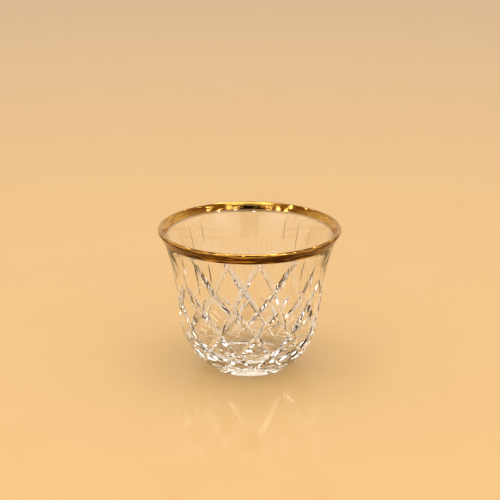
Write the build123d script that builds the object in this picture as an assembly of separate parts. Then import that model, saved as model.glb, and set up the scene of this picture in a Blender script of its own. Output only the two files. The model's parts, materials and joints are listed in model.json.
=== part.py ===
"""Handleless cut-glass coffee cup with a gilded lip. Millimetres, +Z up.

The origin is the middle of the flat foot, on the surface that the cup stands on, and its front faces -Y.
The cup is two physical pieces: the cut glass body, and the gold that is fired onto its lip.
"""
import os
from math import asin, cos, degrees, radians, sin, sqrt, tan

from build123d import *

# Overall sizes, measured over the gold
LIP_DIAMETER = 70.0
HEIGHT = 55.2

# Glass outside, from the foot up
FOOT_DIAMETER = 30.4
FOOT_EDGE_RADIUS = 0.5
BOWL_RADIUS = 27.0
WALL_LEAN = 6.8
FLARE_HEIGHT = 30.0

# Lip: where the wall turns out more sharply, inside the lip's edge and below its top, and its rounded edge
LIP_FLARE_INSET = 2.95
LIP_FLARE_DROP = 6.8
LIP_RADIUS = 0.66

# Glass inside, and the shallow hollow under the foot
WALL = 2.5
LIP_WALL = 2.05
FLOOR = 5.5
INNER_CORNER_RADIUS = 15.5
PUNT_DIAMETER = 22.0
PUNT_DEPTH = 0.8

# Fired gold on the lip: how far it comes down from the top on each side
GOLD_THICKNESS = 0.15
GOLD_OUTSIDE = 4.1
GOLD_INSIDE = 2.45

# Cut pattern: columns stand half a repeat apart, counted from one that is turned from the front
REPEATS = 12
PATTERN_TURN = 5.5

# V-shaped cutters: angle of each side from the middle, height, and how far they run past a cut's ends
MITRE_HALF_ANGLE = 45.0
CUTTER_HEIGHT = 3.0
CUTTER_OVERRUN = 1.2

# Crossing diagonal mitres that make the diamonds; the second hand is cut a little less deep
DIAGONAL_DEPTH = 1.3
SECOND_HAND_EASE = 0.06
DIAGONAL_LOW_COLUMN = -1.07
DIAGONAL_LOW_HEIGHT = 2.0
DIAGONAL_MIDDLE_COLUMN = 2.0
DIAGONAL_MIDDLE_HEIGHT = 19.7
DIAGONAL_SHOULDER_COLUMN = 3.5
DIAGONAL_SHOULDER_DROP = 17.0
DIAGONAL_SHOULDER_DEPTH = 0.55
WHEEL_RADIUS = 50.0

# Fans of three upright leaf cuts that hang below the gold: a tall one, and a slim one at each side of it
FANS = 4
FAN_COLUMN = 3
FAN_SPREAD = 0.8
LEAF_GAP = 0.9
TALL_LEAF_LENGTH = 15.0
TALL_LEAF_DEPTH = 0.38
SLIM_LEAF_LENGTH = 9.6
SLIM_LEAF_DEPTH = 0.3

# Star cut in the hollow under the foot
STAR_RAYS = 12
STAR_MIDDLE_RADIUS = 5.6
STAR_RAY_LENGTH = 8.0
STAR_DEPTH = 0.55


def bend_radius(start, inward, end):
    """Radius of the arc that leaves start square to inward and passes through end.

    The arc's centre is on the inward side, or on the other side where the radius is negative.
    """
    run = end - start
    return run.length**2 / (2 * run.dot(inward))


def touch_radius(start, inward, centre, radius):
    """Radius of the arc that leaves start square to inward and touches a circle.

    It touches the circle from outside where the circle's radius is positive, and from within where negative.
    """
    run = start - centre
    return (run.length**2 - radius**2) / (2 * (radius - run.dot(inward)))


# Lower edge of the gold on each side
GOLD_EDGE_OUTSIDE = HEIGHT - GOLD_OUTSIDE
GOLD_EDGE_INSIDE = HEIGHT - GOLD_INSIDE

# Points of the wall's outline, each with its radius as X and its height as Y
LEAN = radians(WALL_LEAN)
UP_THE_WALL = Vector(sin(LEAN), cos(LEAN))
OFF_THE_WALL = Vector(cos(LEAN), -sin(LEAN))
BOWL_CENTRE = Vector(0, sqrt(BOWL_RADIUS**2 - (FOOT_DIAMETER / 2) ** 2))
WALL_START = BOWL_CENTRE + OFF_THE_WALL * BOWL_RADIUS
FLARE_START = WALL_START + UP_THE_WALL * ((FLARE_HEIGHT - WALL_START.Y) / UP_THE_WALL.Y)
LIP_FLARE_START = Vector(LIP_DIAMETER / 2 - LIP_FLARE_INSET, HEIGHT - LIP_FLARE_DROP)
FLARE_RADIUS = bend_radius(FLARE_START, OFF_THE_WALL, LIP_FLARE_START)
FLARE_CENTRE = FLARE_START + OFF_THE_WALL * FLARE_RADIUS
OFF_THE_FLARE = (FLARE_CENTRE - LIP_FLARE_START) / FLARE_RADIUS
LIP_EDGE = GOLD_THICKNESS + LIP_RADIUS
LIP_CENTRE = Vector(LIP_DIAMETER / 2 - LIP_EDGE, HEIGHT - LIP_EDGE)
LIP_FLARE_RADIUS = touch_radius(LIP_FLARE_START, OFF_THE_FLARE, LIP_CENTRE, LIP_RADIUS)
LIP_FLARE_CENTRE = LIP_FLARE_START + OFF_THE_FLARE * LIP_FLARE_RADIUS


def flare_arc(height):
    """Centre and radius of the arc that flares the wall at a height."""
    if height < LIP_FLARE_START.Y:
        return FLARE_CENTRE, FLARE_RADIUS
    return LIP_FLARE_CENTRE, LIP_FLARE_RADIUS


def wall_radius(height):
    """Radius of the uncut outer surface at a height."""
    if height < WALL_START.Y:
        return sqrt(BOWL_RADIUS**2 - (height - BOWL_CENTRE.Y) ** 2)
    if height < FLARE_HEIGHT:
        return WALL_START.X + tan(LEAN) * (height - WALL_START.Y)
    centre, radius = flare_arc(height)
    reach = sqrt(radius**2 - (height - centre.Y) ** 2)
    return centre.X - (reach if radius > 0 else -reach)


def wall_slope(height):
    """Change of the outer radius with height."""
    if height < WALL_START.Y:
        return (BOWL_CENTRE.Y - height) / wall_radius(height)
    if height < FLARE_HEIGHT:
        return tan(LEAN)
    centre = flare_arc(height)[0]
    return (height - centre.Y) / (centre.X - wall_radius(height))


def wall_normal(angle, height):
    """Direction out of the uncut outer surface, at an angle from the front towards +X."""
    turn = radians(angle)
    return Vector(sin(turn), -cos(turn), -wall_slope(height)).normalized()


def wall_point(angle, height, depth=0.0):
    """Point on the uncut outer surface, or at a depth below it."""
    turn = radians(angle)
    radius = wall_radius(height)
    return Vector(radius * sin(turn), -radius * cos(turn), height) - wall_normal(angle, height) * depth


def glass_section():
    """Half section of the uncut glass, in the plane of radius and height."""
    foot = Vector(FOOT_DIAMETER / 2, 0)
    punt_edge = Vector(PUNT_DIAMETER / 2, 0)
    punt_top = Vector(0, PUNT_DEPTH)
    lip_start = LIP_CENTRE + (LIP_FLARE_CENTRE - LIP_CENTRE).normalized() * LIP_RADIUS
    # The inner wall leaves the lip smoothly, follows the outer one down and rounds into the floor
    inner_flare = FLARE_START - Vector(WALL / cos(LEAN), 0)
    inner_lip_flare = LIP_FLARE_START - OFF_THE_FLARE * LIP_WALL
    inner_radius = bend_radius(inner_flare, OFF_THE_WALL, inner_lip_flare)
    off_inner = (inner_flare + OFF_THE_WALL * inner_radius - inner_lip_flare) / inner_radius
    inner_lip_radius = touch_radius(inner_lip_flare, off_inner, LIP_CENTRE, -LIP_RADIUS)
    inner_lip_centre = inner_lip_flare + off_inner * inner_lip_radius
    lip_end = LIP_CENTRE - (inner_lip_centre - LIP_CENTRE).normalized() * LIP_RADIUS
    corner_height = FLOOR + INNER_CORNER_RADIUS * (1 - sin(LEAN))
    corner = inner_flare - UP_THE_WALL * ((FLARE_HEIGHT - corner_height) / UP_THE_WALL.Y)
    floor_edge = Vector(corner.X - INNER_CORNER_RADIUS * cos(LEAN), FLOOR)
    floor_middle = Vector(0, FLOOR)
    outline = [
        TangentArc(punt_top, punt_edge, tangent=(1, 0)),
        Line(punt_edge, foot),
        TangentArc(WALL_START, foot, tangent=UP_THE_WALL * -1),
        Line(WALL_START, FLARE_START),
        TangentArc(FLARE_START, LIP_FLARE_START, tangent=UP_THE_WALL),
        TangentArc(LIP_FLARE_START, lip_start, tangent=OFF_THE_FLARE.rotate(Axis.Z, 90)),
        ThreePointArc(lip_start, LIP_CENTRE + Vector(0, LIP_RADIUS), lip_end),
        TangentArc(inner_lip_flare, lip_end, tangent=off_inner.rotate(Axis.Z, 90)),
        TangentArc(inner_flare, inner_lip_flare, tangent=UP_THE_WALL),
        Line(inner_flare, corner),
        TangentArc(floor_edge, corner, tangent=(1, 0)),
        Line(floor_edge, floor_middle),
        Line(floor_middle, punt_top),
    ]
    section = make_face(outline)
    return fillet(section.vertices().sort_by_distance(foot)[0], FOOT_EDGE_RADIUS)


def mitre_run(tip, along, outward, radius, length):
    """V-shaped cutter on a planar arc, and the tip, direction and outward side at its end.

    The arc's centre is on the glass side for a positive radius, and on the outside for a negative one.
    """
    across = outward.cross(along)
    half_width = CUTTER_HEIGHT * tan(radians(MITRE_HALF_ANGLE))
    top = tip + outward * CUTTER_HEIGHT
    section = Face(Wire.make_polygon([tip, top + across * half_width, top - across * half_width], close=True))
    centre = tip - outward * radius
    turn = length / radius
    cutter = revolve(section, Axis(centre, across if radius > 0 else across * -1), abs(degrees(turn)))
    end_outward = outward * cos(turn) + along * sin(turn)
    end_along = along * cos(turn) - outward * sin(turn)
    return cutter, centre + end_outward * radius, end_along, end_outward


def mitre_to(tip, along, outward, target, overrun=1.0):
    """V-shaped cutter that leaves a tip along a direction and bends to pass through a target."""
    radius = bend_radius(tip, outward * -1, target)
    length = radius * asin((target - tip).dot(along) / radius)
    return mitre_run(tip, along, outward, radius, length * overrun)


def diagonal_cutter(hand, depth):
    """One diagonal mitre: deepest in the middle, fading out above the foot and lifting off below the lip."""
    half_repeat = hand * 180.0 / REPEATS
    shoulder_height = GOLD_EDGE_OUTSIDE - DIAGONAL_SHOULDER_DROP
    low = wall_point(DIAGONAL_LOW_COLUMN * half_repeat, DIAGONAL_LOW_HEIGHT)
    middle = wall_point(DIAGONAL_MIDDLE_COLUMN * half_repeat, DIAGONAL_MIDDLE_HEIGHT)
    shoulder = wall_point(DIAGONAL_SHOULDER_COLUMN * half_repeat, shoulder_height)
    across = (middle - low).cross(shoulder - low).normalized()
    bowl_centre = Vector(0, 0, BOWL_CENTRE.Y)
    arc_centre = bowl_centre - across * (bowl_centre - middle).dot(across)
    outward = (middle - arc_centre).normalized()
    upward = across.cross(outward)
    tip = middle - outward * depth
    lower = mitre_to(tip, upward * -1, outward, low, CUTTER_OVERRUN)[0]
    upper, *upper_end = mitre_to(tip, upward, outward, shoulder - outward * DIAGONAL_SHOULDER_DEPTH)
    lift_length = 2 * sqrt(2 * WHEEL_RADIUS * DIAGONAL_SHOULDER_DEPTH)
    lift = mitre_run(*upper_end, -WHEEL_RADIUS, lift_length)[0]
    return lower + upper + lift


def leaf_cutter(tip, along, outward, start, end):
    """Leaf-shaped mitre: deepest at the tip, and out of the glass past its start and end."""
    first = mitre_to(tip, along * -1, outward, start, CUTTER_OVERRUN)[0]
    second = mitre_to(tip, along, outward, end, CUTTER_OVERRUN)[0]
    return first + second


def upright_leaf(angle, bottom, top, depth):
    """Leaf cut that stands upright on the wall."""
    middle = (bottom + top) / 2
    outward = wall_normal(angle, middle)
    sideways = Vector(cos(radians(angle)), sin(radians(angle)), 0)
    tip = wall_point(angle, middle, depth)
    upward = outward.cross(sideways)
    return leaf_cutter(tip, upward, outward, wall_point(angle, bottom), wall_point(angle, top))


def punt_point(radius, depth=0.0):
    """Point on the hollow under the foot, along +X, or at a depth above it."""
    sphere_radius = ((PUNT_DIAMETER / 2) ** 2 + PUNT_DEPTH**2) / (2 * PUNT_DEPTH)
    return Vector(radius, 0, PUNT_DEPTH - sphere_radius + sqrt(sphere_radius**2 - radius**2) + depth)


def star_ray():
    """One ray of the star under the foot, along +X."""
    tip = punt_point(STAR_MIDDLE_RADIUS, STAR_DEPTH)
    start = punt_point(STAR_MIDDLE_RADIUS - STAR_RAY_LENGTH / 2)
    end = punt_point(STAR_MIDDLE_RADIUS + STAR_RAY_LENGTH / 2)
    return leaf_cutter(tip, Vector(1, 0, 0), Vector(0, 0, -1), start, end)


def repeated(cutter, count):
    """Copies of a cutter, spaced evenly round the cup and turned with the pattern."""
    return [Rot(0, 0, PATTERN_TURN + 360.0 * index / count) * cutter for index in range(count)]


def fan_leaf(place, length, depth):
    """One leaf of a fan: place 0 is its middle, -1 and 1 are its sides."""
    column_width = 180.0 / REPEATS
    top = GOLD_EDGE_OUTSIDE - LEAF_GAP
    return upright_leaf((FAN_COLUMN + place * FAN_SPREAD) * column_width, top - length, top, depth)


def pattern_cutters():
    """All the mitre cuts of the outside: crossing diagonals, and fans of leaves above them."""
    diagonals = [diagonal_cutter(1, DIAGONAL_DEPTH), diagonal_cutter(-1, DIAGONAL_DEPTH - SECOND_HAND_EASE)]
    leaves = [
        fan_leaf(-1, SLIM_LEAF_LENGTH, SLIM_LEAF_DEPTH),
        fan_leaf(0, TALL_LEAF_LENGTH, TALL_LEAF_DEPTH),
        fan_leaf(1, SLIM_LEAF_LENGTH, SLIM_LEAF_DEPTH),
    ]
    counts = [(cutter, REPEATS) for cutter in diagonals] + [(cutter, FANS) for cutter in leaves]
    return [copy for cutter, count in counts for copy in repeated(cutter, count)]


def glass_body():
    """The cut glass: turned blank, diamond and leaf cuts outside, star under the foot."""
    blank = revolve(Plane.XZ * glass_section(), Axis.Z)
    return blank.cut(*pattern_cutters(), *repeated(star_ray(), STAR_RAYS))


def area_above(height, side):
    """Area above a height, on one side of a line in the wall: Align.MIN is outside, Align.MAX is inside."""
    line = wall_radius(GOLD_EDGE_OUTSIDE) - LIP_WALL / 4
    return Pos(line, height) * Rectangle(LIP_DIAMETER, HEIGHT, align=(side, Align.MIN))


def gold_rim():
    """The fired gold: a thin skin over the lip, down to one edge outside and another inside."""
    skin_area = area_above(GOLD_EDGE_OUTSIDE, Align.MIN) + area_above(GOLD_EDGE_INSIDE, Align.MAX)
    glass = glass_section()
    skin = offset(glass, GOLD_THICKNESS) - glass
    return revolve(Plane.XZ * (skin & skin_area), Axis.Z)


os.makedirs("parts", exist_ok=True)
for node, solid in {"glass_body": glass_body(), "gold_rim": gold_rim()}.items():
    export_step(solid, f"parts/{node}.step")
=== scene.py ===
"""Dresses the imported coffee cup: mitre-cut clear glass, and a lip that is gilded with fired gold.

Lengths are metres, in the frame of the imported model: +Z is up, the front faces -Y, and the foot stands on
zero.
"""

import json
import math

import bmesh
import bpy
from bpy.props import FloatProperty, FloatVectorProperty, IntProperty, PointerProperty
from mathutils import Matrix, Vector

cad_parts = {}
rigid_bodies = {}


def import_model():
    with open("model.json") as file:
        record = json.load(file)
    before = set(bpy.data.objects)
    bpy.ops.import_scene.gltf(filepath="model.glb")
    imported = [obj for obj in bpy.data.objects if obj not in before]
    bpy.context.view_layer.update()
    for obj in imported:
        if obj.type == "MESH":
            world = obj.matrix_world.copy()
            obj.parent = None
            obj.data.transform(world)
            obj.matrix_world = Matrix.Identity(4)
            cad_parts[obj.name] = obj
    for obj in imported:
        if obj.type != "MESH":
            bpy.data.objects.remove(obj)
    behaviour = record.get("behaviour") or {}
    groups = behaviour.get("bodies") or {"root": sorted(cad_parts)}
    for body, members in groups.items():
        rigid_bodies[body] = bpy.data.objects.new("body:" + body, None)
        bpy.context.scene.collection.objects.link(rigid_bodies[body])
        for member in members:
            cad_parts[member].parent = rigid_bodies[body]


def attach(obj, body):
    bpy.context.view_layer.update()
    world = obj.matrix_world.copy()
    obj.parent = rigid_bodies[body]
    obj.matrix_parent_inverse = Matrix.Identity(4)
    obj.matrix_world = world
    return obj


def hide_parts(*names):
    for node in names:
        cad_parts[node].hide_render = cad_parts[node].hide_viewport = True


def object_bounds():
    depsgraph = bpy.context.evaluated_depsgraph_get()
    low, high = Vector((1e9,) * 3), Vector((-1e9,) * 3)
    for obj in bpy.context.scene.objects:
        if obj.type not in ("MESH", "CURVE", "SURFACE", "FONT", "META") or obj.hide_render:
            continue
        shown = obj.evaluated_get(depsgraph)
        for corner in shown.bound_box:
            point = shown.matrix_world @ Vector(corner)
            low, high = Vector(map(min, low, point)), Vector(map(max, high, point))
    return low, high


bl_info = {
    "name": "Cut glass coffee cup",
    "version": (1, 0, 0),
    "blender": (4, 5, 0),
    "location": "3D View > Sidebar > Coffee Cup",
    "description": "Cuts the glass, gilds the lip and sets the studio for a handleless coffee cup",
    "category": "Object",
}

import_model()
CAD_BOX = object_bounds()
BODY = "root"
MM = 0.001


def linear(hex_colour):
    """Linear RGB of an sRGB hex colour."""
    channels = [int(hex_colour[place:place + 2], 16) / 255 for place in (1, 3, 5)]
    return [c / 12.92 if c <= 0.04045 else ((c + 0.055) / 1.055) ** 2.4 for c in channels]


# Kinds of values that a user would change


def length(name, description, millimetres):
    """Length property, with its default in millimetres."""
    return FloatProperty(
        name=name,
        description=description,
        default=millimetres * MM,
        precision=5,
        unit="LENGTH",
        subtype="DISTANCE",
    )


def angle(name, description, degrees):
    """Angle property, with its default in degrees."""
    return FloatProperty(
        name=name,
        description=description,
        default=math.radians(degrees),
        unit="ROTATION",
        subtype="ANGLE",
    )


def number(name, description, value):
    """Plain number property."""
    return FloatProperty(name=name, description=description, default=value)


def colour(name, description, hex_colour):
    """Colour property, with its default as an sRGB hex value."""
    return FloatVectorProperty(
        name=name,
        description=description,
        default=linear(hex_colour),
        size=3,
        min=0.0,
        max=1.0,
        subtype="COLOR",
    )


class CupShape(bpy.types.PropertyGroup):
    """Sizes of the uncut glass and of the gold on its lip."""

    lip_diameter: length("Lip diameter", "Widest size, over the gold", (CAD_BOX[1].x - CAD_BOX[0].x) / MM)
    height: length("Height", "From the foot to the top of the gold", CAD_BOX[1].z / MM)
    foot_diameter: length("Foot diameter", "Where the bowl would meet the table", 30.4)
    foot_edge_radius: length("Foot edge", "Radius that rounds the edge of the foot", 0.5)
    bowl_radius: length("Bowl radius", "Radius of the round bottom of the bowl", 27.0)
    wall_lean: angle("Wall lean", "How far the wall leans outwards", 6.8)
    flare_height: length("Flare height", "Where the wall starts to flare", 30.0)
    lip_flare_inset: length("Lip flare inset", "Where the wall turns out more, inside the lip's edge", 2.95)
    lip_flare_drop: length("Lip flare drop", "Where the wall turns out more, below the lip's top", 6.8)
    lip_radius: length("Lip radius", "Radius of the rounded edge of the glass", 0.66)
    wall: length("Wall", "Thickness of the wall where it starts to flare", 2.5)
    lip_wall: length("Lip wall", "Thickness of the wall where it turns out more", 2.05)
    floor: length("Floor", "Height of the inner floor", 5.5)
    inner_corner_radius: length("Inner corner", "Radius between the inner wall and the floor", 15.5)
    punt_diameter: length("Punt diameter", "Width of the shallow hollow under the foot", 22.0)
    punt_depth: length("Punt depth", "Depth of the hollow under the foot", 0.8)
    gold_thickness: length("Gold thickness", "How far the gold stands proud of the glass", 0.15)
    gold_sink: length("Gold sink", "How far the gold reaches below the face of the glass", 0.05)
    gold_outside: length("Gold outside", "How far the gold comes down outside", 4.1)
    gold_inside: length("Gold inside", "How far the gold comes down inside", 2.45)


class CutPattern(bpy.types.PropertyGroup):
    """Sizes of the mitre cuts; a column is half a repeat, counted from the turned front."""

    repeats: IntProperty(name="Repeats", description="Diamonds round the cup", default=12, min=3)
    turn: angle("Turn", "How far the pattern is turned from the front", 5.5)
    mitre_half_angle: angle("Mitre half angle", "From the middle of a V-shaped cut to its side", 45.0)
    diagonal_depth: length("Diagonal depth", "Depth of the diagonals in the middle", 1.3)
    second_hand_ease: length("Second hand ease", "How much less deep the second hand is cut", 0.06)
    low_column: number("Low column", "Column where a diagonal fades out", -1.07)
    low_height: length("Low height", "Height where a diagonal fades out", 2.0)
    middle_column: number("Middle column", "Column of a diagonal's middle", 2.0)
    middle_height: length("Middle height", "Height of a diagonal's middle", 19.7)
    shoulder_column: number("Shoulder column", "Column where it lifts off", 3.5)
    shoulder_drop: length("Shoulder drop", "Where it lifts off, below the gold", 17.0)
    shoulder_depth: length("Shoulder depth", "Depth where it lifts off", 0.55)
    wheel_radius: length("Wheel radius", "Radius of the cutting wheel where it lifts off", 50.0)
    fans: IntProperty(name="Fans", description="Fans of three leaves round the cup", default=4, min=1)
    fan_column: IntProperty(name="Fan column", description="Column of the middle of a fan", default=3)
    fan_spread: number("Fan spread", "Columns between its leaves", 0.8)
    leaf_gap: length("Leaf gap", "From the gold to the tops of the leaves", 0.9)
    tall_leaf_length: length("Tall leaf length", "Length of the leaf in the middle of a fan", 15.0)
    tall_leaf_depth: length("Tall leaf depth", "Depth of the leaf in the middle of a fan", 0.38)
    slim_leaf_length: length("Slim leaf length", "Length of the leaves at the sides of a fan", 9.6)
    slim_leaf_depth: length("Slim leaf depth", "Depth of the leaves at the sides of a fan", 0.30)
    star_rays: IntProperty(name="Star rays", description="Rays of the star under the foot", default=12, min=3)
    star_middle_radius: length("Star middle", "From the axis to the middle of a ray", 5.6)
    star_ray_length: length("Star ray length", "Length of a ray", 8.0)
    star_depth: length("Star depth", "Depth of a ray", 0.55)


class CupFinish(bpy.types.PropertyGroup):
    """Colours of the glass and the gold."""

    glass_tint: colour("Glass tint", "Colour that light takes on at the face of the glass", "#FEFDFB")
    gold_bright: colour("Gold bright", "Burnished film of gold", "#EDB95E")
    # Gold deep is painted shade: the tone laid on the gold where it looks down, standing for the dark
    # reflections there
    gold_painted_shade: colour("Gold deep", "Film of gold where it lies thicker", "#472906")
    back_pale: colour("Back pale", "Back of the gold, where it is thin", "#FBE3BC")
    back_deep: colour("Back deep", "Back of the gold, where it is thick", "#F2D09A")


class Studio(bpy.types.PropertyGroup):
    """Floor, light and camera."""

    floor_colour: colour("Floor", "Plain pale floor", "#F3C98C")
    floor_grain: colour("Floor grain", "Slightly warmer patches of the floor", "#F1C586")
    fill_colour: colour("Fill", "Light from all round", "#FFF6EA")
    wall_colour: colour("Walls", "Walls of the room, in reflections", "#E9D8C6")
    gap_colour: colour("Gap", "Dark part of the room behind the camera", "#1A0E05")
    ceiling_colour: colour("Ceiling", "Ceiling of the room, in reflections", "#8F6A3A")
    side_colour: colour("Sides", "Room between the bright strips", "#3A2412")
    corner_colour: colour("Corners", "Dark corners low at the back of the room", "#2E1B0A")
    lamp_colour: colour("Lamps", "Colour of the soft lamps", "#FFFAF2")
    fill_glow: number("Fill glow", "Brightness of the light from all round", 0.41)
    lamp_distance: length("Lamp distance", "From the cup to a lamp", 1300.0)
    soft_glow: number("Soft glow", "Brightness of the large lamps", 2.7)
    small_glow: number("Small glow", "Brightness of the small lamps", 25.0)
    band_glow: number("Band glow", "Brightness of the soft bands", 1.6)
    strips: IntProperty(name="Strips", description="Bright strips in the whole turn", default=24)
    strip_glow: number("Strip glow", "Brightness of the strips", 5.0)
    lens: number("Lens", "Focal length in millimetres", 112.88)
    camera_distance: length("Camera distance", "From the camera to the point that it aims at", 600.0)
    camera_rise: angle("Camera rise", "How far the camera looks down", 18.03)
    aim_height: length("Aim height", "Height of the point that the camera aims at", 45.85)
    aim_aside: length("Aim aside", "How far beside the axis, towards +X, the camera aims", 0.18)


# Fineness of the meshes
SEGMENTS = 384
OUTSIDE_STEP = 0.40 * MM
INSIDE_STEP = 0.80 * MM
LIP_STEP = 0.12 * MM
FOOT_STEP = 0.05 * MM
CUT_STEP = 0.50 * MM
SHARP_EDGE = math.radians(12.0)
STRAIGHT = 1e-5
ON_AXIS = 1e-9

# V-shaped cutters: their height, and how far they run past the ends of a cut
CUTTER_HEIGHT = 3.0 * MM
CUTTER_OVERRUN = 1.2

# Lamps: sizes in millimetres, degrees turned from the front towards +X, and degrees of rise
OVERHEAD_SIZE = (900.0, 900.0)
WINDOW_SIZE = (420.0, 900.0)
WINDOW_TURN = 44.0
WINDOW_RISE = 24.0
SMALL_LAMP_SIZE = (60.0, 60.0)
SMALL_LAMP_TURNS = (-150, -118, -84, -65, -52, -37, -8, 25, 40, 53, 76, 110, 142, 172)
SMALL_LAMP_RISES = (46.0, 51.0, 56.0)


# Outline of the uncut glass, each point with its radius as x and its height as y


def bend_radius(start, inward, end):
    """Radius of the arc that leaves start square to inward and passes through end."""
    run = end - start
    return run.length_squared / (2 * run.dot(inward))


def touch_radius(start, inward, centre, radius):
    """Radius of the arc that leaves start square to inward and touches a circle.

    It touches the circle from outside where the circle's radius is positive, and from within where negative.
    """
    run = start - centre
    return (run.length_squared - radius**2) / (2 * (radius - run.dot(inward)))


def on_circle(centre, radius, height):
    """Point at a height, on the side of a circle that is nearer the axis."""
    return Vector((centre.x - math.sqrt(radius**2 - (height - centre.y) ** 2), height))


def bend(start, heading, end, step):
    """Points along the arc that leaves start on a heading and stops at end, and the heading there."""
    run = end - start
    side = Vector((-heading.y, heading.x))
    turn = 2 * math.atan2(run.dot(side), run.dot(heading))
    if abs(turn) < STRAIGHT:
        count = max(1, math.ceil(run.length / step))
        return [start + run * (index / count) for index in range(1, count + 1)], heading
    radius = run.length / (2 * math.sin(turn / 2))
    count = max(1, math.ceil(abs(radius * turn) / step))
    turns = [turn * index / count for index in range(1, count + 1)]
    points = [start + (heading * math.sin(t) + side * (1 - math.cos(t))) * radius for t in turns]
    return points, heading * math.cos(turn) + side * math.sin(turn)


def smooth_line(start, heading, stops):
    """Points along lines and arcs that run smoothly into each other, from stop to stop."""
    line = [start]
    for end, step in stops:
        points, heading = bend(line[-1], heading, end, step)
        line += points
    return line


class CupOutline:
    """Lines and arcs of the uncut glass."""

    def __init__(self, shape):
        lean = shape.wall_lean
        self.shape = shape
        self.up = Vector((math.sin(lean), math.cos(lean)))
        self.off = Vector((math.cos(lean), -math.sin(lean)))
        self.bowl_centre = Vector((0, math.sqrt(shape.bowl_radius**2 - (shape.foot_diameter / 2) ** 2)))
        self.wall_start = self.bowl_centre + self.off * shape.bowl_radius
        self.flare_start = self.climb(self.wall_start, shape.flare_height)
        self.lip_flare_start = Vector(
            (shape.lip_diameter / 2 - shape.lip_flare_inset, shape.height - shape.lip_flare_drop)
        )
        self.flare_radius = bend_radius(self.flare_start, self.off, self.lip_flare_start)
        self.flare_centre = self.flare_start + self.off * self.flare_radius
        off_flare = (self.flare_centre - self.lip_flare_start) / self.flare_radius
        lip_edge = shape.gold_thickness + shape.lip_radius
        self.lip_centre = Vector((shape.lip_diameter / 2 - lip_edge, shape.height - lip_edge))
        self.lip_flare_radius = touch_radius(
            self.lip_flare_start, off_flare, self.lip_centre, shape.lip_radius
        )
        self.lip_flare_centre = self.lip_flare_start + off_flare * self.lip_flare_radius
        # The inner wall leaves the lip smoothly, follows the outer one down and rounds into the floor
        self.inner_flare = self.flare_start - Vector((shape.wall / math.cos(lean), 0))
        self.inner_lip_flare = self.lip_flare_start - off_flare * shape.lip_wall
        inner_radius = bend_radius(self.inner_flare, self.off, self.inner_lip_flare)
        off_inner = (self.inner_flare + self.off * inner_radius - self.inner_lip_flare) / inner_radius
        self.inner_lip_radius = touch_radius(
            self.inner_lip_flare, off_inner, self.lip_centre, -shape.lip_radius
        )
        self.inner_lip_centre = self.inner_lip_flare + off_inner * self.inner_lip_radius

    def climb(self, start, height):
        """Point up or down the straight wall from start."""
        return start + self.up * ((height - start.y) / self.up.y)

    def flare_arc(self, height):
        """Centre and radius of the arc that flares the wall at a height."""
        if height < self.lip_flare_start.y:
            return self.flare_centre, self.flare_radius
        return self.lip_flare_centre, self.lip_flare_radius

    def radius(self, height):
        """Radius of the outer surface at a height."""
        if height < self.wall_start.y:
            return math.sqrt(self.shape.bowl_radius**2 - (height - self.bowl_centre.y) ** 2)
        if height < self.flare_start.y:
            return self.climb(self.wall_start, height).x
        return on_circle(*self.flare_arc(height), height).x

    def slope(self, height):
        """Change of the outer radius with height."""
        if height < self.wall_start.y:
            return (self.bowl_centre.y - height) / self.radius(height)
        if height < self.flare_start.y:
            return self.up.x / self.up.y
        centre = self.flare_arc(height)[0]
        return (height - centre.y) / (centre.x - self.radius(height))

    def normal(self, turn, height):
        """Direction out of the outer surface, turned from the front towards +X."""
        return Vector((math.sin(turn), -math.cos(turn), -self.slope(height))).normalized()

    def point(self, turn, height, depth=0.0):
        """Point on the outer surface, or at a depth below it."""
        radius = self.radius(height)
        on_wall = Vector((radius * math.sin(turn), -radius * math.cos(turn), height))
        return on_wall - self.normal(turn, height) * depth

    def punt_point(self, radius, depth=0.0):
        """Point on the hollow under the foot, along +X, or at a depth above it."""
        half_width, rise = self.shape.punt_diameter / 2, self.shape.punt_depth
        sphere_radius = (half_width**2 + rise**2) / (2 * rise)
        return Vector((radius, 0, rise - sphere_radius + math.sqrt(sphere_radius**2 - radius**2) + depth))

    def lip_stops(self, skin):
        """Start, top and end of the rounded lip, at a height off the glass."""
        radius = self.shape.lip_radius + skin
        start = self.lip_centre + (self.lip_flare_centre - self.lip_centre).normalized() * radius
        end = self.lip_centre - (self.inner_lip_centre - self.lip_centre).normalized() * radius
        return start, self.lip_centre + Vector((0, radius)), end

    def half_section(self):
        """Outline of the glass, from the axis under the foot to the axis on the inner floor."""
        shape = self.shape
        level = Vector((1, 0))
        punt_edge = Vector((shape.punt_diameter / 2, 0))
        edge_height = shape.foot_edge_radius
        bowl_drop = self.bowl_centre.y - edge_height
        edge_centre = Vector((math.sqrt((shape.bowl_radius - edge_height) ** 2 - bowl_drop**2), edge_height))
        bowl_start = self.bowl_centre + (edge_centre - self.bowl_centre).normalized() * shape.bowl_radius
        corner_height = shape.floor + shape.inner_corner_radius * (1 - math.sin(shape.wall_lean))
        corner = self.climb(self.inner_flare, corner_height)
        floor_edge = Vector((corner.x - shape.inner_corner_radius * self.up.y, shape.floor))
        punt = smooth_line(Vector((0, shape.punt_depth)), level, [(punt_edge, INSIDE_STEP)])
        stops = [
            (Vector((edge_centre.x, 0)), INSIDE_STEP),
            (bowl_start, FOOT_STEP),
            (self.wall_start, OUTSIDE_STEP),
            (self.flare_start, OUTSIDE_STEP),
            (self.lip_flare_start, OUTSIDE_STEP),
            *zip(self.lip_stops(0.0), (OUTSIDE_STEP, LIP_STEP, LIP_STEP)),
            (self.inner_lip_flare, INSIDE_STEP),
            (self.inner_flare, INSIDE_STEP),
            (corner, INSIDE_STEP),
            (floor_edge, INSIDE_STEP),
            (Vector((0, shape.floor)), INSIDE_STEP),
        ]
        return punt + smooth_line(punt_edge, level, stops)[1:]

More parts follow.
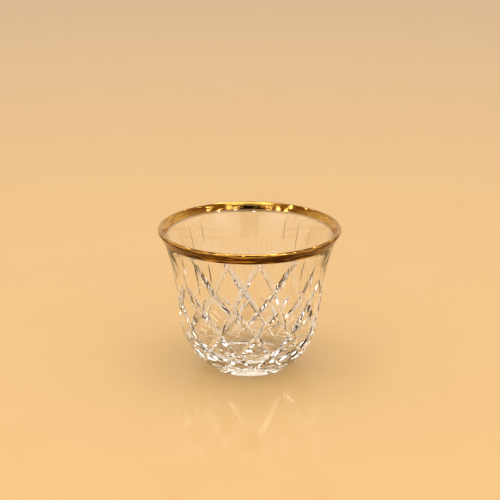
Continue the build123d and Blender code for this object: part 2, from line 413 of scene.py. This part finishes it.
    def lip_line(self, skin):
        """Line over the lip at a height off the glass, from the gold's outer edge to its inner one."""
        shape = self.shape
        outer_edge, inner_edge = shape.height - shape.gold_outside, shape.height - shape.gold_inside
        start = on_circle(self.lip_flare_centre, self.lip_flare_radius - skin, outer_edge)
        end = on_circle(self.inner_lip_centre, self.inner_lip_radius + skin, inner_edge)
        from_flare = (start - self.lip_flare_centre).normalized()
        heading = Vector((from_flare.y, -from_flare.x))
        return smooth_line(start, heading, [(stop, LIP_STEP) for stop in (*self.lip_stops(skin), end)])


# Meshes


def new_piece(name, mesh):
    """Object for a mesh, put in the scene."""
    piece = bpy.data.objects.new(name, mesh)
    bpy.context.scene.collection.objects.link(piece)
    return piece


def turned_mesh(name, outline, closed):
    """Mesh turned from an outline, which is a closed loop or runs from the axis to the axis."""
    work = bmesh.new()
    turns = [math.tau * index / SEGMENTS for index in range(SEGMENTS)]
    rings = []
    for point in outline:
        if point.x < ON_AXIS:
            rings.append([work.verts.new((0, 0, point.y))] * SEGMENTS)
            continue
        ring = [(point.x * math.sin(turn), -point.x * math.cos(turn), point.y) for turn in turns]
        rings.append([work.verts.new(place) for place in ring])
    if closed:
        rings.append(rings[0])
    for low, high in zip(rings, rings[1:]):
        for index in range(SEGMENTS):
            after = (index + 1) % SEGMENTS
            corners = dict.fromkeys((low[index], low[after], high[after], high[index]))
            work.faces.new(corners)
    bmesh.ops.recalc_face_normals(work, faces=work.faces)
    mesh = bpy.data.meshes.new(name)
    work.to_mesh(mesh)
    work.free()
    return mesh


def smooth(mesh):
    """Smooth shading that keeps the edges of the cuts sharp."""
    mesh.shade_smooth()
    mesh.set_sharp_from_angle(angle=SHARP_EDGE)


class MitrePath:
    """Path of a V-shaped cutter in one plane: where its tip goes, and which way is outwards there."""

    def __init__(self, tip, along, outward):
        self.along, self.outward = along, outward
        self.across = outward.cross(along)
        self.stations = [(tip, outward)]

    def run(self, radius, distance):
        """Follows an arc, with its centre on the glass side or, for a negative radius, outside."""
        tip = self.stations[-1][0]
        along, outward = self.along, self.outward
        centre = tip - outward * radius
        count = math.ceil(distance / CUT_STEP)
        for index in range(1, count + 1):
            turn = distance * index / (count * radius)
            self.outward = outward * math.cos(turn) + along * math.sin(turn)
            self.along = along * math.cos(turn) - outward * math.sin(turn)
            self.stations.append((centre + self.outward * radius, self.outward))

    def run_to(self, target, overrun=1.0):
        """Bends to pass through a target."""
        tip = self.stations[-1][0]
        radius = bend_radius(tip, -self.outward, target)
        distance = radius * math.asin((target - tip).dot(self.along) / radius)
        self.run(radius, distance * overrun)


def cutter_mesh(name, first, second, half_angle):
    """V-shaped cutter that follows two paths, which leave one tip in opposite directions."""
    stations = first.stations[:0:-1] + second.stations
    sideways = second.across * (CUTTER_HEIGHT * math.tan(half_angle))
    work = bmesh.new()
    sections = []
    for tip, outward in stations:
        top = tip + outward * CUTTER_HEIGHT
        sections.append([work.verts.new(corner) for corner in (tip, top + sideways, top - sideways)])
    for low, high in zip(sections, sections[1:]):
        for index in range(3):
            work.faces.new((low[index - 1], low[index], high[index], high[index - 1]))
    work.faces.new(sections[0])
    work.faces.new(sections[-1])
    bmesh.ops.recalc_face_normals(work, faces=work.faces)
    mesh = bpy.data.meshes.new(name)
    work.to_mesh(mesh)
    work.free()
    return mesh


def leaf_cutter(name, tip, along, outward, start, end, half_angle):
    """Leaf-shaped mitre: deepest at the tip, and out of the glass past its start and end."""
    first, second = MitrePath(tip, -along, outward), MitrePath(tip, along, outward)
    first.run_to(start, CUTTER_OVERRUN)
    second.run_to(end, CUTTER_OVERRUN)
    return cutter_mesh(name, first, second, half_angle)


def upright_leaf(name, outline, turn, bottom, top, depth, half_angle):
    """Leaf cut that stands upright on the wall."""
    middle = (bottom + top) / 2
    outward = outline.normal(turn, middle)
    upward = outward.cross(Vector((math.cos(turn), math.sin(turn), 0)))
    tip = outline.point(turn, middle, depth)
    start, end = outline.point(turn, bottom), outline.point(turn, top)
    return leaf_cutter(name, tip, upward, outward, start, end, half_angle)


def diagonal_cutter(name, outline, cuts, hand, depth):
    """One diagonal mitre: deepest in the middle, fading out above the foot and lifting off below the lip."""
    half_repeat = hand * math.pi / cuts.repeats
    shoulder_height = outline.shape.height - outline.shape.gold_outside - cuts.shoulder_drop
    low = outline.point(cuts.low_column * half_repeat, cuts.low_height)
    middle = outline.point(cuts.middle_column * half_repeat, cuts.middle_height)
    shoulder = outline.point(cuts.shoulder_column * half_repeat, shoulder_height)
    across = (middle - low).cross(shoulder - low).normalized()
    bowl_centre = Vector((0, 0, outline.bowl_centre.y))
    arc_centre = bowl_centre - across * (bowl_centre - middle).dot(across)
    outward = (middle - arc_centre).normalized()
    upward = across.cross(outward)
    tip = middle - outward * depth
    first, second = MitrePath(tip, -upward, outward), MitrePath(tip, upward, outward)
    first.run_to(low, CUTTER_OVERRUN)
    second.run_to(shoulder - outward * cuts.shoulder_depth)
    second.run(-cuts.wheel_radius, 2 * math.sqrt(2 * cuts.wheel_radius * cuts.shoulder_depth))
    return cutter_mesh(name, first, second, cuts.mitre_half_angle)


def pattern_cutters(outline, cuts):
    """Each kind of cutter with how often it repeats round the cup."""
    half_angle = cuts.mitre_half_angle
    column = math.pi / cuts.repeats
    leaf_top = outline.shape.height - outline.shape.gold_outside - cuts.leaf_gap
    star_tip = outline.punt_point(cuts.star_middle_radius, cuts.star_depth)
    star_start = outline.punt_point(cuts.star_middle_radius - cuts.star_ray_length / 2)
    star_end = outline.punt_point(cuts.star_middle_radius + cuts.star_ray_length / 2)
    along, down = Vector((1, 0, 0)), Vector((0, 0, -1))
    star = leaf_cutter("star", star_tip, along, down, star_start, star_end, half_angle)
    kinds = [(star, cuts.star_rays)]
    for hand, depth in ((1, cuts.diagonal_depth), (-1, cuts.diagonal_depth - cuts.second_hand_ease)):
        kinds.append((diagonal_cutter("diagonal", outline, cuts, hand, depth), cuts.repeats))
    tall, slim = (cuts.tall_leaf_length, cuts.tall_leaf_depth), (cuts.slim_leaf_length, cuts.slim_leaf_depth)
    for place, (leaf_length, depth) in ((-1, slim), (0, tall), (1, slim)):
        turn = (cuts.fan_column + place * cuts.fan_spread) * column
        leaf = upright_leaf("leaf", outline, turn, leaf_top - leaf_length, leaf_top, depth, half_angle)
        kinds.append((leaf, cuts.fans))
    return kinds


def cut_mesh(name, blank, kinds, turn):
    """Mesh of a blank after every cutter has been taken from it."""
    piece = new_piece(name, blank)
    cutters = bpy.data.collections.new("cutters")
    for mesh, count in kinds:
        for index in range(count):
            cutter = bpy.data.objects.new(mesh.name, mesh)
            cutter.matrix_world = Matrix.Rotation(turn + math.tau * index / count, 4, "Z")
            cutters.objects.link(cutter)
    bpy.context.scene.collection.children.link(cutters)
    cut = piece.modifiers.new("cut", "BOOLEAN")
    cut.operation = "DIFFERENCE"
    cut.solver = "MANIFOLD"
    cut.operand_type = "COLLECTION"
    cut.collection = cutters
    bpy.context.view_layer.update()
    result = bpy.data.meshes.new_from_object(piece.evaluated_get(bpy.context.evaluated_depsgraph_get()))
    for spare in [piece, *cutters.objects]:
        bpy.data.objects.remove(spare)
    bpy.data.collections.remove(cutters)
    for mesh in [blank, *[mesh for mesh, count in kinds]]:
        bpy.data.meshes.remove(mesh)
    result.name = name
    return result


# Materials

# Colour sockets of a Mix node, which share their names with others
MIX_A, MIX_B, MIX_RESULT = 6, 7, 2


def add_node(tree, kind, settings=None, links=None):
    """Adds a node, with settings for its fields and sockets, and links into its sockets."""
    node = tree.nodes.new(kind)
    for key, value in (settings or {}).items():
        if isinstance(key, int) or key in node.inputs:
            node.inputs[key].default_value = value
        else:
            setattr(node, key, value)
    for key, output in (links or {}).items():
        tree.links.new(output, node.inputs[key])
    return node


def new_material(name):
    """Empty node material with an output."""
    material = bpy.data.materials.new(name)
    material.use_nodes = True
    tree = material.node_tree
    tree.nodes.clear()
    return material, tree, add_node(tree, "ShaderNodeOutputMaterial")


def crystal_material(finish):
    """Lead crystal, mitre cut on a wheel and acid polished.

    It is colourless and bright, bends light strongly, and its faces keep a faint waviness from the polish.
    """
    material, tree, output = new_material("lead_crystal_cut_and_acid_polished")
    place = add_node(tree, "ShaderNodeTexCoord").outputs["Object"]
    # The waves are deeper than a real polish leaves, so that they show
    wave_size, wave_depth = 4.0 * MM, 0.02 * MM
    wave = add_node(tree, "ShaderNodeTexNoise", {"Scale": 1 / wave_size, "Detail": 1.0}, {"Vector": place})
    bump = add_node(
        tree, "ShaderNodeBump", {"Strength": 1.0, "Distance": wave_depth}, {"Height": wave.outputs["Fac"]}
    )
    shader = add_node(
        tree,
        "ShaderNodeBsdfPrincipled",
        {
            "Base Color": (*finish.glass_tint, 1.0),
            "Roughness": 0.0,
            "IOR": 1.545,
            "Transmission Weight": 1.0,
        },
        {"Normal": bump.outputs["Normal"]},
    )
    tree.links.new(shader.outputs["BSDF"], output.inputs["Surface"])
    return material


def gold_material(finish):
    """Bright gold, painted on the lip as a liquid and fired.

    It is a thin burnished film with a mirror gloss. On the band below the lip, which looks down, a deep tone
    is painted in as shade for the dark reflections there, with long bright patches painted in as highlights,
    and the streaks of the brush.
    """
    material, tree, output = new_material("bright_gold_painted_and_fired")
    coordinates = add_node(tree, "ShaderNodeTexCoord").outputs
    # Real streaks are finer; these are as coarse as a picture of the whole cup needs
    streak_length, streak_width, streak_depth = 5.0 * MM, 0.5 * MM, 0.05 * MM
    place = add_node(tree, "ShaderNodeSeparateXYZ", {}, {"Vector": coordinates["Object"]}).outputs
    level = add_node(tree, "ShaderNodeCombineXYZ", {}, {"X": place["X"], "Y": place["Y"]})
    radius = add_node(
        tree, "ShaderNodeVectorMath", {"operation": "LENGTH"}, {0: level.outputs["Vector"]}
    ).outputs["Value"]
    over_lip = add_node(tree, "ShaderNodeMath", {"operation": "ADD"}, {0: place["Z"], 1: radius})
    along = add_node(
        tree,
        "ShaderNodeCombineXYZ",
        {},
        {"X": place["X"], "Y": place["Y"], "Z": over_lip.outputs["Value"]},
    )
    stretch = (1 / streak_length, 1 / streak_length, 1 / streak_width)
    stretched = add_node(
        tree, "ShaderNodeVectorMath", {"operation": "MULTIPLY", 1: stretch}, {0: along.outputs["Vector"]}
    )
    streaks = add_node(
        tree, "ShaderNodeTexNoise", {"Scale": 1.0, "Detail": 2.0}, {"Vector": stretched.outputs["Vector"]}
    ).outputs["Fac"]
    # A patch is twice as long and wide as a streak; the patches place painted highlights on the gold
    patches = add_node(
        tree, "ShaderNodeTexNoise", {"Scale": 1 / 2, "Detail": 1.0}, {"Vector": stretched.outputs["Vector"]}
    )
    facing = add_node(tree, "ShaderNodeSeparateXYZ", {}, {"Vector": coordinates["Normal"]})
    # Painted shade: the tone turns deep where the gold looks down, standing for the dark reflections there
    thin = add_node(
        tree,
        "ShaderNodeMapRange",
        {"From Min": -0.10, "From Max": 0.30, "To Min": 0.05, "To Max": 0.85},
        {"Value": facing.outputs["Z"]},
    )
    bright = add_node(
        tree,
        "ShaderNodeMapRange",
        {"From Min": 0.35, "From Max": 0.65, "To Min": -0.35, "To Max": 0.25},
        {"Value": streaks},
    )
    # Painted highlights: bright patches lift the tone of the gold, as glints of light on it
    painted_glints = add_node(
        tree,
        "ShaderNodeMapRange",
        {"From Min": 0.52, "From Max": 0.70, "To Max": 0.75},
        {"Value": patches.outputs["Fac"]},
    )
    share = add_node(
        tree,
        "ShaderNodeMath",
        {"operation": "ADD", "use_clamp": True},
        {0: thin.outputs["Result"], 1: bright.outputs["Result"]},
    )
    share = add_node(
        tree,
        "ShaderNodeMath",
        {"operation": "MAXIMUM"},
        {0: share.outputs["Value"], 1: painted_glints.outputs["Result"]},
    )
    tone = add_node(
        tree,
        "ShaderNodeMix",
        {"data_type": "RGBA", MIX_A: (*finish.gold_painted_shade, 1.0), MIX_B: (*finish.gold_bright, 1.0)},
        {"Factor": share.outputs["Value"]},
    )
    gloss = add_node(
        tree,
        "ShaderNodeMapRange",
        {"From Min": 0.3, "From Max": 0.7, "To Min": 0.03, "To Max": 0.10},
        {"Value": streaks},
    )
    ripple = add_node(
        tree, "ShaderNodeBump", {"Strength": 1.0, "Distance": streak_depth}, {"Height": streaks}
    )
    shader = add_node(
        tree,
        "ShaderNodeBsdfPrincipled",
        {"Metallic": 1.0},
        {
            "Base Color": tone.outputs[MIX_RESULT],
            "Roughness": gloss.outputs["Result"],
            "Normal": ripple.outputs["Normal"],
        },
    )
    tree.links.new(shader.outputs["BSDF"], output.inputs["Surface"])
    return material


def gold_back_material(finish):
    """Back of the fired gold, which lies against the glass.

    Seen through the glass it is pale and satin, because the glass that it melted into was not burnished.
    """
    material, tree, output = new_material("bright_gold_fired_onto_glass")
    place = add_node(tree, "ShaderNodeTexCoord").outputs["Object"]
    patch_size = 3.0 * MM
    patches = add_node(
        tree, "ShaderNodeTexNoise", {"Scale": 1 / patch_size, "Detail": 2.0}, {"Vector": place}
    )
    tone = add_node(
        tree,
        "ShaderNodeMix",
        {"data_type": "RGBA", MIX_A: (*finish.back_deep, 1.0), MIX_B: (*finish.back_pale, 1.0)},
        {"Factor": patches.outputs["Fac"]},
    )
    shader = add_node(
        tree,
        "ShaderNodeBsdfPrincipled",
        {"Metallic": 1.0, "Roughness": 0.4},
        {"Base Color": tone.outputs[MIX_RESULT]},
    )
    tree.links.new(shader.outputs["BSDF"], output.inputs["Surface"])
    return material


def floor_material(studio):
    """Satin laminate, pressed: plain and pale, with a soft gloss that its press left a little uneven."""
    material, tree, output = new_material("satin_laminate_pressed")
    place = add_node(tree, "ShaderNodeTexCoord").outputs["Object"]
    patch_size = 30.0 * MM
    patches = add_node(
        tree, "ShaderNodeTexNoise", {"Scale": 1 / patch_size, "Detail": 3.0}, {"Vector": place}
    )
    tone = add_node(
        tree,
        "ShaderNodeMix",
        {"data_type": "RGBA", MIX_A: (*studio.floor_colour, 1.0), MIX_B: (*studio.floor_grain, 1.0)},
        {"Factor": patches.outputs["Fac"]},
    )
    gloss = add_node(
        tree, "ShaderNodeMapRange", {"To Min": 0.11, "To Max": 0.16}, {"Value": patches.outputs["Fac"]}
    )
    shader = add_node(
        tree,
        "ShaderNodeBsdfPrincipled",
        {"Specular IOR Level": 0.15},
        {"Base Color": tone.outputs[MIX_RESULT], "Roughness": gloss.outputs["Result"]},
    )
    tree.links.new(shader.outputs["BSDF"], output.inputs["Surface"])
    return material


def room_world(studio):
    """Plain room that is pale to the camera, and gives the gold and the glass something to show.

    Reflections find pale walls, a dim ceiling, a dark gap behind the camera, dark corners low at the back and
    two soft bright bands. Light that comes through the glass finds the gap too, and bright strips high at
    both sides.
    """
    world = bpy.data.worlds.new("room")
    world.use_nodes = True
    tree = world.node_tree
    tree.nodes.clear()
    place = add_node(tree, "ShaderNodeTexCoord").outputs["Generated"]
    direction = add_node(tree, "ShaderNodeSeparateXYZ", {}, {"Vector": place}).outputs
    forward = add_node(tree, "ShaderNodeMath", {"operation": "MULTIPLY", 1: -1.0}, {0: direction["Y"]})
    turn = add_node(
        tree, "ShaderNodeMath", {"operation": "ARCTAN2"}, {0: direction["X"], 1: forward.outputs["Value"]}
    ).outputs["Value"]
    either_way = add_node(tree, "ShaderNodeMath", {"operation": "ABSOLUTE"}, {0: turn})
    aside = add_node(
        tree, "ShaderNodeMath", {"operation": "DEGREES"}, {0: either_way.outputs["Value"]}
    ).outputs["Value"]
    turns = add_node(tree, "ShaderNodeMath", {"operation": "MULTIPLY", 1: studio.strips}, {0: turn})
    ripple = add_node(
        tree, "ShaderNodeMath", {"operation": "COSINE"}, {0: turns.outputs["Value"]}
    ).outputs["Value"]
    up = direction["Z"]
    rays = add_node(tree, "ShaderNodeLightPath").outputs
    reflected, through = rays["Is Glossy Ray"], rays["Is Transmission Ray"]
    sharp = add_node(
        tree, "ShaderNodeMath", {"operation": "MAXIMUM"}, {0: reflected, 1: through}
    ).outputs["Value"]
    sides = [
        (aside, 58.0, 66.0),
        (aside, 168.0, 160.0),
        (up, 0.20, 0.35),
        (up, 0.85, 0.70),
    ]
    # Each part of the room: its colour, the rays that find it, and its soft edges from outside to inside,
    # in degrees aside of the front, in the upward share of the direction, or in the wave of the strips
    room_parts = {
        "walls": (studio.wall_colour, reflected, []),
        "ceiling": (studio.ceiling_colour, reflected, [(up, 0.45, 0.75)]),
        "gap": (studio.gap_colour, sharp, [(aside, 16.0, 11.0), (up, 0.02, 0.30)]),
        "high_gap": (studio.gap_colour, sharp, [(aside, 27.0, 19.0), (up, 0.40, 0.60)]),
        "corners": (
            studio.corner_colour,
            reflected,
            [
                (aside, 92.0, 104.0),
                (aside, 144.0, 132.0),
                (up, -0.01, 0.01),
                (up, 0.24, 0.16),
            ],
        ),
        "bands": (
            studio.lamp_colour,
            reflected,
            [
                (aside, 14.0, 40.0),
                (aside, 62.0, 47.0),
                (up, 0.15, 0.40),
                (up, 0.75, 0.45),
            ],
        ),
        "sides": (studio.side_colour, through, sides),
        "strips": (studio.lamp_colour, through, [(ripple, -0.3, 0.8), *sides]),
    }
    tone = add_node(tree, "ShaderNodeRGB").outputs["Color"]
    tone.default_value = (*studio.floor_colour, 1.0)
    shares = {}
    for name, (shade, share, edges) in room_parts.items():
        for value, outside, inside in edges:
            edge = add_node(
                tree,
                "ShaderNodeMapRange",
                {"interpolation_type": "SMOOTHSTEP", "From Min": outside, "From Max": inside},
                {"Value": value},
            )
            share = add_node(
                tree, "ShaderNodeMath", {"operation": "MULTIPLY"}, {0: share, 1: edge.outputs["Result"]}
            ).outputs["Value"]
        tone = add_node(
            tree,
            "ShaderNodeMix",
            {"data_type": "RGBA", MIX_B: (*shade, 1.0)},
            {"Factor": share, MIX_A: tone},
        ).outputs[MIX_RESULT]
        shares[name] = share
    band_glow = add_node(
        tree,
        "ShaderNodeMath",
        {"operation": "MULTIPLY_ADD", 1: studio.band_glow - 1.0, 2: 1.0},
        {0: shares["bands"]},
    )
    glow = add_node(
        tree,
        "ShaderNodeMath",
        {"operation": "MULTIPLY_ADD", 1: studio.strip_glow - 1.0},
        {0: shares["strips"], 2: band_glow.outputs["Value"]},
    )
    room = add_node(tree, "ShaderNodeBackground", {}, {"Color": tone, "Strength": glow.outputs["Value"]})
    fill = add_node(
        tree, "ShaderNodeBackground", {"Color": (*studio.fill_colour, 1.0), "Strength": studio.fill_glow}
    )
    pale = add_node(tree, "ShaderNodeBackground", {"Color": (*studio.floor_colour, 1.0)})
    lit = add_node(
        tree,
        "ShaderNodeMixShader",
        {},
        {0: sharp, 1: fill.outputs["Background"], 2: room.outputs["Background"]},
    )
    seen = add_node(
        tree,
        "ShaderNodeMixShader",
        {},
        {0: rays["Is Camera Ray"], 1: lit.outputs["Shader"], 2: pale.outputs["Background"]},
    )
    add_node(tree, "ShaderNodeOutputWorld", {}, {"Surface": seen.outputs["Shader"]})
    return world


# Operators


class CUP_OT_glass(bpy.types.Operator):
    """Turns the glass body and cuts its pattern"""

    bl_idname = "cup.glass"
    bl_label = "Cut the glass"

    def execute(self, context):
        outline = CupOutline(context.scene.cup_shape)
        cuts = context.scene.cup_cuts
        blank = turned_mesh("blank", outline.half_section(), closed=False)
        mesh = cut_mesh("glass_cut", blank, pattern_cutters(outline, cuts), cuts.turn)
        smooth(mesh)
        # The cut leaves an empty slot, which would come before the crystal
        mesh.materials.clear()
        mesh.materials.append(crystal_material(context.scene.cup_finish))
        piece = new_piece("glass_cut", mesh)
        piece.visible_shadow = False
        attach(piece, BODY)
        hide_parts("glass_body")
        return {"FINISHED"}


class CUP_OT_gold(bpy.types.Operator):
    """Lays the fired gold over the lip"""

    bl_idname = "cup.gold"
    bl_label = "Gild the lip"

    def execute(self, context):
        shape = context.scene.cup_shape
        outline = CupOutline(shape)
        face, back = outline.lip_line(shape.gold_thickness), outline.lip_line(-shape.gold_sink)[::-1]
        mesh = turned_mesh("gold_lip", face + back, closed=True)
        smooth(mesh)
        mesh.materials.append(gold_material(context.scene.cup_finish))
        mesh.materials.append(gold_back_material(context.scene.cup_finish))
        for polygon in mesh.polygons:
            polygon.material_index = int(polygon.index // SEGMENTS >= len(face) - 1)
        piece = new_piece("gold_lip", mesh)
        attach(piece, BODY)
        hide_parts("gold_rim")
        return {"FINISHED"}


class CUP_OT_stage(bpy.types.Operator):
    """Sets the floor, the soft lamps and the camera"""

    bl_idname = "cup.stage"
    bl_label = "Set the stage"

    def execute(self, context):
        scene = context.scene
        studio = scene.cup_studio
        scene.view_settings.view_transform = "Standard"
        scene.cycles.max_bounces = 24
        scene.cycles.transmission_bounces = 24
        scene.cycles.glossy_bounces = 12
        scene.cycles.caustics_reflective = False
        scene.cycles.caustics_refractive = False
        self.lay_floor(studio)
        self.light(scene, studio)
        self.aim_camera(scene, studio)
        return {"FINISHED"}

    def lay_floor(self, studio):
        """Plain round floor."""
        work = bmesh.new()
        bmesh.ops.create_circle(work, cap_ends=True, segments=96, radius=4.0)
        mesh = bpy.data.meshes.new("floor")
        work.to_mesh(mesh)
        work.free()
        mesh.materials.append(floor_material(studio))
        new_piece("floor", mesh)

    def light(self, scene, studio):
        """Soft lamps round the cup, and a plain room."""
        self.hang_lamp(scene, studio, "overhead", 0.0, 90.0, OVERHEAD_SIZE, studio.soft_glow)
        for name, turn in (("left_window", -WINDOW_TURN), ("right_window", WINDOW_TURN)):
            window = self.hang_lamp(scene, studio, name, turn, WINDOW_RISE, WINDOW_SIZE, studio.soft_glow)
            # The bands of the room stand in for the windows, without their hard edges
            window.visible_glossy = False
            window.visible_transmission = False
        for index, turn in enumerate(SMALL_LAMP_TURNS):
            rise = SMALL_LAMP_RISES[index % len(SMALL_LAMP_RISES)]
            self.hang_lamp(scene, studio, f"small_{index}", turn, rise, SMALL_LAMP_SIZE, studio.small_glow)
        scene.world = room_world(studio)

    def hang_lamp(self, scene, studio, name, turn, rise, size, glow):
        """Soft lamp that faces the cup, turned and raised by degrees, with its size in millimetres."""
        lamp = bpy.data.lights.new(name, "AREA")
        lamp.shape = "RECTANGLE"
        lamp.size, lamp.size_y = size[0] * MM, size[1] * MM
        lamp.energy = glow * math.pi * lamp.size * lamp.size_y
        lamp.color = studio.lamp_colour
        holder = bpy.data.objects.new(name, lamp)
        turn, rise = math.radians(turn), math.radians(rise)
        away = Vector((math.sin(turn) * math.cos(rise), -math.cos(turn) * math.cos(rise), math.sin(rise)))
        holder.location = Vector((0, 0, studio.aim_height)) + away * studio.lamp_distance
        holder.rotation_euler = (-away).to_track_quat("-Z", "Y").to_euler()
        scene.collection.objects.link(holder)
        return holder

    def aim_camera(self, scene, studio):
        """Camera in front of the cup and a little above it."""
        camera = bpy.data.cameras.new("camera")
        camera.lens = studio.lens
        camera.clip_start = 0.01
        holder = bpy.data.objects.new("camera", camera)
        back = Vector((0, -math.cos(studio.camera_rise), math.sin(studio.camera_rise)))
        holder.location = Vector((studio.aim_aside, 0, studio.aim_height)) + back * studio.camera_distance
        holder.rotation_euler = (-back).to_track_quat("-Z", "Y").to_euler()
        scene.collection.objects.link(holder)
        scene.camera = holder


class CUP_PT_panel(bpy.types.Panel):
    """Steps that make the cup"""

    bl_idname = "CUP_PT_panel"
    bl_label = "Coffee cup"
    bl_space_type = "VIEW_3D"
    bl_region_type = "UI"
    bl_category = "Coffee Cup"

    def draw(self, context):
        for operator in OPERATORS:
            self.layout.operator(operator.bl_idname)


OPERATORS = (CUP_OT_glass, CUP_OT_gold, CUP_OT_stage)
GROUPS = {"cup_shape": CupShape, "cup_cuts": CutPattern, "cup_finish": CupFinish, "cup_studio": Studio}


def register():
    """Adds the settings, the operators and the panel to Blender."""
    for group in GROUPS.values():
        bpy.utils.register_class(group)
    for name, group in GROUPS.items():
        setattr(bpy.types.Scene, name, PointerProperty(type=group))
    for kind in (*OPERATORS, CUP_PT_panel):
        bpy.utils.register_class(kind)


def unregister():
    """Takes them away again."""
    for kind in (CUP_PT_panel, *reversed(OPERATORS)):
        bpy.utils.unregister_class(kind)
    for name in GROUPS:
        delattr(bpy.types.Scene, name)
    for group in GROUPS.values():
        bpy.utils.unregister_class(group)


def main():
    """Makes the cup and the stage."""
    register()
    bpy.ops.cup.glass()
    bpy.ops.cup.gold()
    bpy.ops.cup.stage()


if __name__ == "__main__":
    main()
